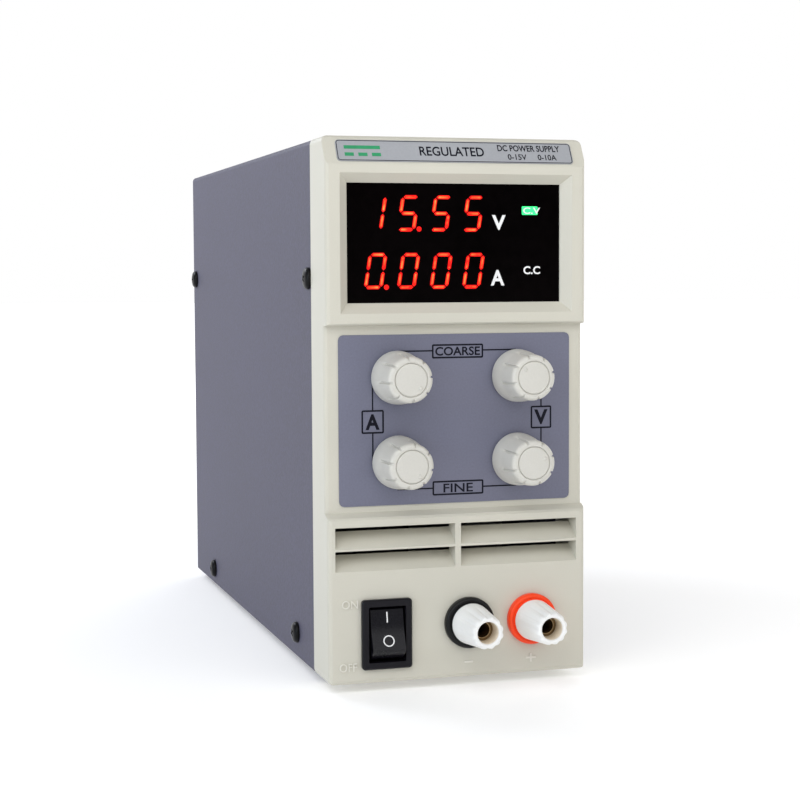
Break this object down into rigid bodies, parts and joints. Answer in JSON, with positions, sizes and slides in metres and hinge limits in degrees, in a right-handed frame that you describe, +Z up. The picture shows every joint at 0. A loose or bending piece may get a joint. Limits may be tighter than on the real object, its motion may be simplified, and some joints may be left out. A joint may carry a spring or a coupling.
{
  "type": "bench power supply",
  "caption": "Tall narrow DC bench power supply with a two-row lit display, coarse and fine knobs, rocker switch, screw-cap output posts and a rear fan.",
  "frame": {"origin": "centre of the footprint of the bounding box, on the plane the feet stand on", "axes": "+X to the right seen from the front, +Y from the front panel to the rear panel, +Z up"},
  "size_m": [0.0832, 0.2416, 0.162],
  "materials": {
    "bezel_plastic": "fine satin moulding",
    "window_plastic": "clear gloss over black",
    "board": "solder mask",
    "led_module": "moulded epoxy",
    "led_lit": "lit segment",
    "led_green": "lit lamp",
    "strip": "printed satin strip",
    "overlay": "printed satin film",
    "pot_metal": "pressed steel",
    "shaft_steel": "turned",
    "knob_plastic": "satin moulding",
    "switch_plastic": "semi-gloss moulding",
    "post_black": "moulded",
    "post_red": "moulded",
    "brass": "turned",
    "cap_plastic": "satin moulding",
    "case_paint": "textured powder coat",
    "tray_metal": "textured powder coat",
    "screw_black": "black oxide",
    "foot_rubber": "moulded",
    "fan_plastic": "moulded",
    "guard_steel": "plated wire",
    "inlet_plastic": "moulded",
    "pin_metal": "plated",
    "selector_red": "moulded",
    "ferrite": "ferrite core with taped winding",
    "heatsink_aluminium": "extruded",
    "print_dark": "screen print",
    "print_white": "screen print"
  },
  "bodies": {
    "chassis": {"front_bezel": "bezel_plastic", "display_window": "window_plastic", "control_board": "board", "voltage_display": "led_module", "current_display": "led_module", "name_strip": "strip", "control_overlay": "overlay", "potentiometer_current_coarse": "pot_metal", "potentiometer_voltage_coarse": "pot_metal", "potentiometer_current_fine": "pot_metal", "potentiometer_voltage_fine": "pot_metal", "switch_body": "switch_plastic", "post_base_negative": "post_black", "post_base_positive": "post_red", "post_stud_negative": "brass", "post_stud_positive": "brass", "case_cover": "case_paint", "chassis_tray": "tray_metal", "cover_screw_left_front_upper": "screw_black", "cover_screw_left_rear_upper": "screw_black", "cover_screw_left_front_lower": "screw_black", "cover_screw_left_rear_lower": "screw_black", "cover_screw_right_front_upper": "screw_black", "cover_screw_right_rear_upper": "screw_black", "cover_screw_right_front_lower": "screw_black", "cover_screw_right_rear_lower": "screw_black", "foot_left_front": "foot_rubber", "foot_right_front": "foot_rubber", "foot_left_rear": "foot_rubber", "foot_right_rear": "foot_rubber", "fan_frame": "fan_plastic", "fan_guard": "guard_steel", "fan_screw_left_lower": "screw_black", "fan_screw_left_upper": "screw_black", "fan_screw_right_lower": "screw_black", "fan_screw_right_upper": "screw_black", "inlet_housing": "inlet_plastic", "inlet_pin_line": "pin_metal", "inlet_pin_neutral": "pin_metal", "inlet_pin_earth": "pin_metal", "selector_body": "inlet_plastic", "main_board": "board", "transformer": "ferrite", "heatsink": "heatsink_aluminium"},
    "knob_current_coarse": {"knob_current_coarse": "knob_plastic", "pot_shaft_current_coarse": "shaft_steel"},
    "knob_voltage_coarse": {"knob_voltage_coarse": "knob_plastic", "pot_shaft_voltage_coarse": "shaft_steel"},
    "knob_current_fine": {"knob_current_fine": "knob_plastic", "pot_shaft_current_fine": "shaft_steel"},
    "knob_voltage_fine": {"knob_voltage_fine": "knob_plastic", "pot_shaft_voltage_fine": "shaft_steel"},
    "power_rocker": {"power_rocker": "switch_plastic"},
    "post_insert_negative": {"post_insert_negative": "brass"},
    "post_cap_negative": {"post_cap_negative": "cap_plastic"},
    "post_insert_positive": {"post_insert_positive": "brass"},
    "post_cap_positive": {"post_cap_positive": "cap_plastic"},
    "fan_rotor": {"fan_rotor": "fan_plastic"},
    "voltage_selector": {"selector_slider": "selector_red"},
    "fuse_drawer": {"fuse_drawer": "inlet_plastic"}
  },
  "joints": [
    {"name": "current_coarse_turn", "type": "hinge", "parent": "chassis", "child": "knob_current_coarse", "pos_m": [-0.0184, -0.1026, 0.092], "axis": [0, 1, 0], "range_deg": [-285, 15]},
    {"name": "voltage_coarse_turn", "type": "hinge", "parent": "chassis", "child": "knob_voltage_coarse", "pos_m": [0.0188, -0.1026, 0.0919], "axis": [0, 1, 0], "range_deg": [-105, 195]},
    {"name": "current_fine_turn", "type": "hinge", "parent": "chassis", "child": "knob_current_fine", "pos_m": [-0.0182, -0.1026, 0.0672], "axis": [0, 1, 0], "range_deg": [-285, 15]},
    {"name": "voltage_fine_turn", "type": "hinge", "parent": "chassis", "child": "knob_voltage_fine", "pos_m": [0.0188, -0.1026, 0.067], "axis": [0, 1, 0], "range_deg": [-217, 83]},
    {"name": "power_rock", "type": "hinge", "parent": "chassis", "child": "power_rocker", "pos_m": [-0.0226, -0.0995, 0.0171], "axis": [1, 0, 0], "range_deg": [0, 33]},
    {"name": "post_negative_travel", "type": "slide", "parent": "chassis", "child": "post_insert_negative", "axis": [0, -1, 0], "range_m": [0, 0.004]},
    {"name": "post_negative_turn", "type": "hinge", "parent": "post_insert_negative", "child": "post_cap_negative", "pos_m": [0.0028, -0.1026, 0.019], "axis": [0, -1, 0], "range_deg": [0, 1800]},
    {"name": "post_positive_travel", "type": "slide", "parent": "chassis", "child": "post_insert_positive", "axis": [0, -1, 0], "range_m": [0, 0.004]},
    {"name": "post_positive_turn", "type": "hinge", "parent": "post_insert_positive", "child": "post_cap_positive", "pos_m": [0.0225, -0.1026, 0.019], "axis": [0, -1, 0], "range_deg": [0, 1800]},
    {"name": "fan_spin", "type": "hinge", "parent": "chassis", "child": "fan_rotor", "pos_m": [0, 0.1064, 0.1145], "axis": [0, 1, 0], "continuous": true},
    {"name": "selector_slide", "type": "slide", "parent": "chassis", "child": "voltage_selector", "axis": [0, 0, 1], "range_m": [0, 0.0084]},
    {"name": "fuse_drawer_slide", "type": "slide", "parent": "chassis", "child": "fuse_drawer", "axis": [0, 1, 0], "range_m": [0, 0.014]}
  ],
  "couplings": [
    {"joint": "post_negative_turn", "follows": "post_negative_travel", "rad_per_m": 7854},
    {"joint": "post_positive_turn", "follows": "post_positive_travel", "rad_per_m": 7854}
  ]
}
